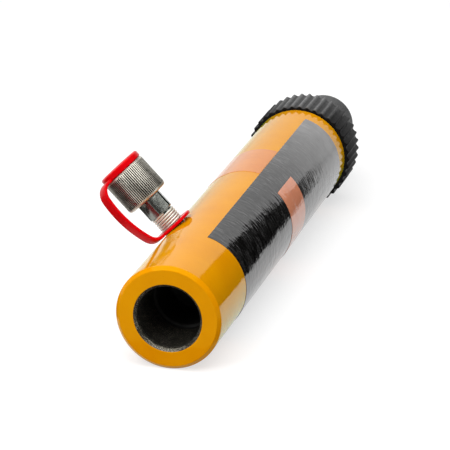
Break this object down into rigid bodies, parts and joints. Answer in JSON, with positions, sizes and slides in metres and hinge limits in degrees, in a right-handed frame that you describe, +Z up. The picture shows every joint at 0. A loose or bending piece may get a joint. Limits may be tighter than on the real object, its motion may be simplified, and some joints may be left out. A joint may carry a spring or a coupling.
{
  "type": "hydraulic pull cylinder",
  "caption": "Hydraulic pull cylinder with a threaded base socket, a sliding rod with threaded head, a ribbed collar protector and a side quick coupler under a tethered dust cap.",
  "frame": {"origin": "on the cylinder axis where the wall of the base socket starts, 2.05 mm behind the base end face", "axes": "+Y along the cylinder from the base towards the rod end, +Z up with the cylinder lying on its side, +X away from the coupler"},
  "size_m": [0.1122, 0.4226, 0.1132],
  "materials": {
    "painted_steel": "glossy yellow-orange enamel with a slight orange peel",
    "machined_steel": "turned steel",
    "hard_chrome": "ground hard chrome",
    "black_oxide_steel": "black oxide, oiled",
    "spring_steel": "drawn wire",
    "bearing_steel": "polished",
    "knurled_nickel": "dull nickel over a straight knurl",
    "bronze": "sintered bronze",
    "black_rubber": "smooth nitrile rubber",
    "seal_plastic": "polyurethane",
    "black_plastic": "moulded, slightly shiny",
    "red_plastic": "soft moulded plastic, semi-gloss",
    "dark_film": "glossy printed film, blank",
    "orange_film": "glossy printed film, blank",
    "pale_film": "glossy printed film, blank"
  },
  "bodies": {
    "cylinder": {"base_block": "painted_steel", "outer_tube": "painted_steel", "inner_liner": "machined_steel", "liner_o_ring": "black_rubber", "vent_filter": "bronze", "rod_gland": "machined_steel", "rod_bush": "bronze", "rod_seal": "seal_plastic", "rod_wiper": "seal_plastic", "gland_o_ring": "black_rubber", "gland_backup_ring": "seal_plastic", "gland_lock_ring": "machined_steel", "return_spring": "spring_steel", "coupler_body": "machined_steel", "sleeve_snap_ring": "spring_steel", "coupler_o_ring": "black_rubber", "valve_spring": "spring_steel", "valve_retainer": "machined_steel", "cap_strap": "red_plastic", "tie_ring": "red_plastic", "label_wrap": "dark_film", "label_band": "orange_film", "pale_patch": "pale_film"},
    "rod": {"piston": "machined_steel", "piston_seal": "seal_plastic", "piston_wear_ring": "seal_plastic", "piston_nut": "machined_steel", "piston_rod": "hard_chrome", "rod_head": "black_oxide_steel", "head_set_screw": "black_oxide_steel"},
    "protector": {"collar_protector": "black_plastic"},
    "sleeve": {"coupler_sleeve": "knurled_nickel"},
    "ball": {"check_ball": "bearing_steel"},
    "cap": {"dust_cap": "red_plastic"}
  },
  "joints": [
    {"name": "rod_slide", "type": "slide", "parent": "cylinder", "child": "rod", "axis": [0, 1, 0], "range_m": [0, 0.14], "deforming": ["return_spring"]},
    {"name": "protector_off", "type": "slide", "parent": "cylinder", "child": "protector", "axis": [0, 1, 0], "range_m": [0, 0.036]},
    {"name": "sleeve_spin", "type": "hinge", "parent": "cylinder", "child": "sleeve", "pos_m": [0, 0.09655, 0], "axis": [-0.7009, 0, 0.7133], "continuous": true},
    {"name": "ball_push", "type": "slide", "parent": "cylinder", "child": "ball", "axis": [0.7009, 0, -0.7133], "range_m": [0, 0.003], "stiffness_N_per_m": 800, "springref_m": -0.002, "deforming": ["valve_spring"]},
    {"name": "cap_pull", "type": "slide", "parent": "cylinder", "child": "cap", "axis": [-0.7009, 0, 0.7133], "range_m": [0, 0.018], "deforming": ["cap_strap"]}
  ]
}
